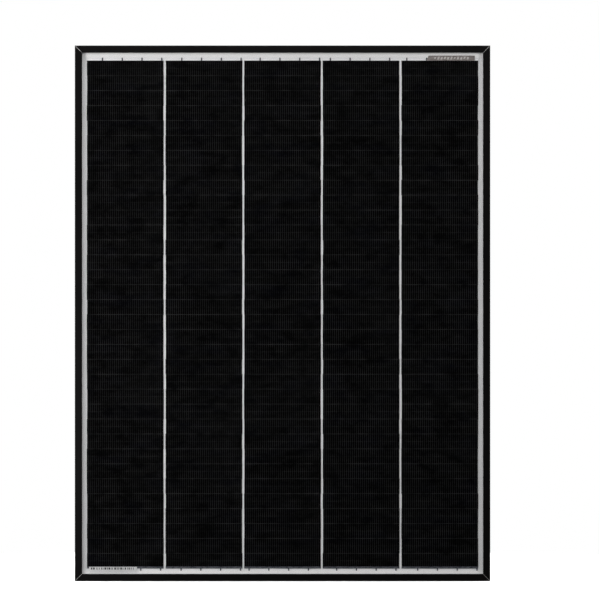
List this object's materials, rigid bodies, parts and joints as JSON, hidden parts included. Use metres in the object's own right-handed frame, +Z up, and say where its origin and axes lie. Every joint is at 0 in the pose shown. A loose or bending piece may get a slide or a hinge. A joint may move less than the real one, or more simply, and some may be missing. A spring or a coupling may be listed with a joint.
{
  "type": "solar panel",
  "caption": "Upright framed photovoltaic module of shingled black cell strips under glass, with a mitred black frame, rear mounting slots and a rear junction box with cable glands.",
  "frame": {"origin": "middle of the bottom edge, halfway through the frame's depth", "axes": "+X across the width, +Y from the glass to the back, +Z up the height"},
  "size_m": [0.861, 0.035, 1.11],
  "materials": {
    "anodised_frame": "satin black anodised",
    "key_aluminium": "as extruded",
    "seal_rubber": "matt",
    "front_glass": "low-iron, lightly textured",
    "clear_encapsulant": "clear",
    "cell_silicon": "dark with fine silver fingers",
    "tinned_ribbon": "tinned copper",
    "white_cover": "matt white",
    "insulation_film": "matt",
    "white_backsheet": "fine embossed matt white",
    "name_strip_film": "printed dark brown grey",
    "bar_label_paper": "printed white",
    "rating_label_film": "printed silver white",
    "box_plastic": "fine spark texture",
    "box_silicone": "semi-gloss white",
    "steel_pin": "drawn",
    "terminal_metal": "tinned copper",
    "zinc_fastener": "zinc plated",
    "diode_epoxy": "moulded",
    "gland_plastic": "moulded nylon",
    "washer_plastic": "natural nylon"
  },
  "bodies": {
    "module": {"backsheet": "white_backsheet", "bar_label": "bar_label_paper", "bottom_bus_cover": "white_cover", "bottom_bus_ribbon": "tinned_ribbon", "bottom_collectors": "tinned_ribbon", "bottom_tabs": "tinned_ribbon", "box_adhesive": "box_silicone", "box_base": "box_plastic", "box_gasket": "seal_rubber", "bypass_diodes": "diode_epoxy", "cell_column_1": "cell_silicon", "cell_column_2": "cell_silicon", "cell_column_3": "cell_silicon", "cell_column_4": "cell_silicon", "cell_column_5": "cell_silicon", "corner_keys": "key_aluminium", "frame_bottom": "anodised_frame", "frame_left": "anodised_frame", "frame_right": "anodised_frame", "frame_top": "anodised_frame", "front_encapsulant": "clear_encapsulant", "front_glass": "front_glass", "gland_body_left": "gland_plastic", "gland_body_right": "gland_plastic", "gland_locknuts": "gland_plastic", "gland_seals": "seal_rubber", "groove_seal_bottom": "seal_rubber", "groove_seal_left": "seal_rubber", "groove_seal_right": "seal_rubber", "groove_seal_top": "seal_rubber", "hinge_pin": "steel_pin", "lead_insulation": "insulation_film", "negative_lead": "tinned_ribbon", "negative_terminal": "terminal_metal", "positive_lead": "tinned_ribbon", "positive_terminal": "terminal_metal", "rating_label": "rating_label_film", "rear_encapsulant": "clear_encapsulant", "ribbon_clips": "zinc_fastener", "slanted_name_strip": "name_strip_film", "terminal_screws": "zinc_fastener", "top_bus_cover": "white_cover", "top_bus_ribbon": "tinned_ribbon", "top_collectors": "tinned_ribbon", "top_tabs": "tinned_ribbon", "vent_plug": "box_plastic"},
    "lid": {"box_lid": "box_plastic"},
    "left_washer": {"gland_washer_left": "washer_plastic"},
    "left_nut": {"gland_nut_left": "gland_plastic"},
    "right_washer": {"gland_washer_right": "washer_plastic"},
    "right_nut": {"gland_nut_right": "gland_plastic"}
  },
  "joints": [
    {"name": "lid_hinge", "type": "hinge", "parent": "module", "child": "lid", "pos_m": [0, 0.0065, 1.0492], "axis": [1, 0, 0], "range_deg": [0, 110]},
    {"name": "left_nut_travel", "type": "slide", "parent": "module", "child": "left_washer", "axis": [0, 0, -1], "range_m": [0, 0.006]},
    {"name": "left_nut_turn", "type": "hinge", "parent": "left_washer", "child": "left_nut", "pos_m": [-0.032, 0.0001, 0.94], "axis": [0, 0, -1], "range_deg": [0, 1440]},
    {"name": "right_nut_travel", "type": "slide", "parent": "module", "child": "right_washer", "axis": [0, 0, -1], "range_m": [0, 0.006]},
    {"name": "right_nut_turn", "type": "hinge", "parent": "right_washer", "child": "right_nut", "pos_m": [0.032, 0.0001, 0.94], "axis": [0, 0, -1], "range_deg": [0, 1440]}
  ],
  "couplings": [
    {"joint": "left_nut_turn", "follows": "left_nut_travel", "rad_per_m": 4188.8},
    {"joint": "right_nut_turn", "follows": "right_nut_travel", "rad_per_m": 4188.8}
  ]
}
